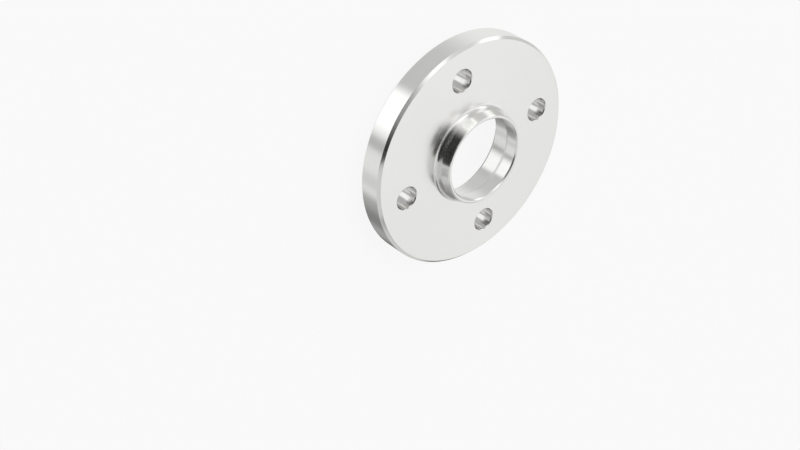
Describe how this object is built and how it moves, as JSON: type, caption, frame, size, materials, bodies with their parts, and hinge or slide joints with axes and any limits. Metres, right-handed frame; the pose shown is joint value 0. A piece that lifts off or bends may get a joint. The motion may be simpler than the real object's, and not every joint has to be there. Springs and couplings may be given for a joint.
{
  "type": "wheel spacer",
  "caption": "Hub-centric wheel spacer: a thick round disc with stud holes, a raised centring collar on the front and a hub recess in the back.",
  "frame": {"origin": "centre of the back face, which the spacer lies on", "axes": "+Z along the wheel axis towards the collar; +X through the centre of a stud hole"},
  "size_m": [0.138, 0.138, 0.0245],
  "materials": {
    "spacer_metal": "fine turned"
  },
  "bodies": {
    "root": {"wheel_spacer": "spacer_metal"}
  },
  "joints": []
}
